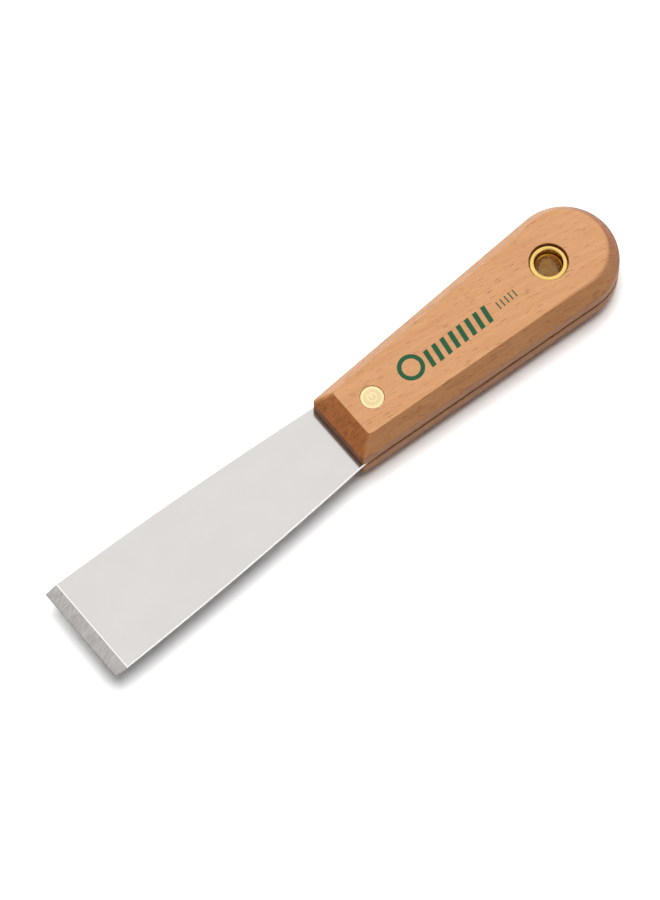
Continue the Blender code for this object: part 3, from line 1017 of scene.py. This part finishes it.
class KNIFE_OT_eyelet(bpy.types.Operator):
    """Model both halves of the hang-hole eyelet"""

    bl_idname = "knife.eyelet"
    bl_label = "Eyelet"

    def execute(self, context):
        brass = context.scene.knife_brass
        outer_points = eyelet_profile(
            OUTER_BORE, OUTER_RADIUS, EYELET_SLEEVE_HIGH.z, EYELET_SLEEVE_LOW.z, OUTER_LIP)
        inner_points = eyelet_profile(
            INNER_BORE, INNER_RADIUS, 2 * MID_Z - EYELET_TUBE_LOW.z,
            2 * MID_Z - EYELET_TUBE_HIGH.z + INNER_SETBACK, INNER_LIP)
        inner_points = [(r, 2 * MID_Z - h) for r, h in inner_points]
        outer = turned("eyelet_outer_brass", outer_points, EYELET_X, closed=True)
        inner = turned("eyelet_inner_brass", inner_points, EYELET_X, closed=True)
        # The inner tube's darker brass is painted shade for the inside of the bore
        for piece, node, tint, name in (
                (outer, "eyelet_sleeve", brass.eyelet_brass, "eyelet_brass"),
                (inner, "eyelet_tube", brass.painted_shade_tube_brass, "painted_shade_tube_brass")):
            smooth(piece, ROUND_PIECE_ANGLE)
            finish = turned_brass(name, tint, EYELET_X, *EYELET_MARKS)
            stand_for(piece, finish, node)
        return {"FINISHED"}


class KNIFE_OT_marks(bpy.types.Operator):
    """Print plain green marks on the top face"""

    bl_idname = "knife.marks"
    bl_label = "Printed Marks"

    def execute(self, context):
        marks = context.scene.knife_print
        bottom = TOP_HIGH.z - PRINT_DEPTH
        x = FRONT_X + marks.print_start + marks.ring_radius
        start_fresh()
        bpy.ops.mesh.primitive_circle_add(vertices=RING_STEPS, radius=marks.ring_radius,
                                          fill_type="NGON", location=(x, 0, bottom))
        piece = bpy.context.object
        piece.name = piece.data.name = "printed_marks"
        bpy.ops.object.mode_set(mode="EDIT")
        bpy.ops.mesh.select_mode(type="FACE")
        bpy.ops.mesh.select_all(action="SELECT")
        bpy.ops.mesh.inset(thickness=RING_WIDTH)
        bpy.ops.mesh.delete(type="FACE")
        bpy.ops.object.mode_set(mode="OBJECT")
        settle(piece)
        x += marks.ring_radius + RING_GAP
        row = [(x + marks.bar_pitch * i, marks.bar_width, marks.bar_height, BAR_SLANT)
               for i in range(marks.bar_count)]
        x += marks.bar_pitch * marks.bar_count + TICK_GAP
        row += [(x + marks.bar_pitch / 2 * i, TICK_WIDTH, marks.bar_height * TICK_SHARE, 0.0)
                for i in range(marks.tick_count)]
        parts = [piece]
        for start, width, height, slant in row:
            bpy.ops.mesh.primitive_plane_add(
                size=1, location=(start + width / 2, BAR_ROW_Y, bottom))
            bar = bpy.context.object
            bpy.ops.object.mode_set(mode="EDIT")
            bpy.ops.transform.resize(value=(width, height, 1))
            bpy.ops.object.mode_set(mode="OBJECT")
            settle(bar)
            edit(bar)
            select_where(bar, "VERT", lambda place: place.y > BAR_ROW_Y)
            bpy.ops.transform.translate(value=(slant, 0, 0))
            bpy.ops.object.mode_set(mode="OBJECT")
            parts.append(bar)
        start_fresh()
        for part in parts:
            part.select_set(True)
        bpy.context.view_layer.objects.active = piece
        bpy.ops.object.join()
        edit(piece)
        bpy.ops.mesh.select_mode(type="FACE")
        bpy.ops.mesh.select_all(action="SELECT")
        bpy.ops.mesh.extrude_region_move(
            TRANSFORM_OT_translate={"value": (0, 0, TOP_HIGH.z - bottom)})
        bpy.ops.object.mode_set(mode="OBJECT")
        turn_outwards(piece)
        piece.data.materials.clear()
        piece.data.materials.append(printing_ink())
        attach(piece, "root")
        return {"FINISHED"}


class KNIFE_OT_stage(bpy.types.Operator):
    """Lay the floor and place the lights and the camera"""

    bl_idname = "knife.stage"
    bl_label = "Stage"

    def execute(self, context):
        stage = context.scene.knife_stage
        start_fresh()
        bpy.ops.mesh.primitive_plane_add(size=FLOOR_SIZE, location=(0, 0, -FLOOR_GAP))
        floor = bpy.context.object
        floor.name = floor.data.name = "floor"
        floor.data.materials.append(pale_floor())
        settle(floor)

        world = bpy.data.worlds.new("studio")
        context.scene.world = world
        world.use_nodes = True
        tree = world.node_tree
        direction = add_node(tree, "ShaderNodeTexCoord").outputs["Generated"]
        towards = Vector(DOME_TOWARDS).normalized()
        height = add_node(tree, "ShaderNodeVectorMath", {0: direction, 1: towards},
                          operation="DOT_PRODUCT")
        glow = spread(tree, height.outputs["Value"], DOME_EDGE, DOME_FULL, DOME_DARK, DOME_BRIGHT)
        in_reflections = add_node(tree, "ShaderNodeLightPath").outputs["Is Glossy Ray"]
        walls = times(tree, in_reflections, stage.reflected_walls)
        glow = maths(tree, "MAXIMUM", glow, walls)
        background = tree.nodes["Background"]
        background.inputs["Color"].default_value = (1.0, 1.0, 1.0, 1.0)
        tree.links.new(glow, background.inputs["Strength"])

        for name, place, size, power, glossy, diffuse in SOFTBOXES:
            data = bpy.data.lights.new(name, "AREA")
            data.shape = "SQUARE"
            data.size = size
            data.energy = power
            lamp = bpy.data.objects.new(name, data)
            lamp.location = place
            lamp.rotation_euler = (-Vector(place)).to_track_quat("-Z", "Y").to_euler()
            lamp.visible_glossy = glossy
            lamp.visible_diffuse = diffuse
            context.scene.collection.objects.link(lamp)

        level = math.cos(stage.elevation)
        back = Vector((math.sin(stage.azimuth) * level, -math.cos(stage.azimuth) * level,
                       math.sin(stage.elevation)))
        data = bpy.data.cameras.new("camera")
        data.sensor_fit = "VERTICAL"
        data.sensor_height = SENSOR_HEIGHT
        data.lens = stage.focal_length
        camera = bpy.data.objects.new("camera", data)
        camera.location = Vector(stage.aim) + back * stage.distance
        camera.rotation_euler = (-back).to_track_quat("-Z", "Y").to_euler()
        context.scene.collection.objects.link(camera)
        context.scene.camera = camera
        context.scene.view_settings.view_transform = "Standard"
        return {"FINISHED"}


class KNIFE_PT_panel(bpy.types.Panel):
    """Buttons for every piece of the knife"""

    bl_idname = "KNIFE_PT_panel"
    bl_label = "Putty Knife"
    bl_space_type = "VIEW_3D"
    bl_region_type = "UI"
    bl_category = "Knife"

    def draw(self, context):
        for step in STEPS:
            self.layout.operator(step.bl_idname)
        for key in SETTINGS:
            settings = getattr(context.scene, key)
            box = self.layout.box()
            for field in settings.__annotations__:
                box.prop(settings, field)


SETTINGS = {
    "knife_scales": KnifeScaleSettings,
    "knife_blade": KnifeBladeSettings,
    "knife_brass": KnifeBrassSettings,
    "knife_print": KnifePrintSettings,
    "knife_stage": KnifeStageSettings,
}
STEPS = (
    KNIFE_OT_blade,
    KNIFE_OT_scales,
    KNIFE_OT_rivet,
    KNIFE_OT_eyelet,
    KNIFE_OT_marks,
    KNIFE_OT_stage,
)


def register():
    """Make the settings, the operators and the panel known."""
    for kind in (*SETTINGS.values(), *STEPS, KNIFE_PT_panel):
        bpy.utils.register_class(kind)
    for key, kind in SETTINGS.items():
        setattr(bpy.types.Scene, key, bpy.props.PointerProperty(type=kind))


def unregister():
    """Take away all that register adds."""
    for key in SETTINGS:
        delattr(bpy.types.Scene, key)
    for kind in reversed((*SETTINGS.values(), *STEPS, KNIFE_PT_panel)):
        bpy.utils.unregister_class(kind)


def main():
    """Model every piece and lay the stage."""
    register()
    bpy.ops.knife.blade()
    bpy.ops.knife.scales()
    bpy.ops.knife.rivet()
    bpy.ops.knife.eyelet()
    bpy.ops.knife.marks()
    bpy.ops.knife.stage()


if __name__ == "__main__":
    main()
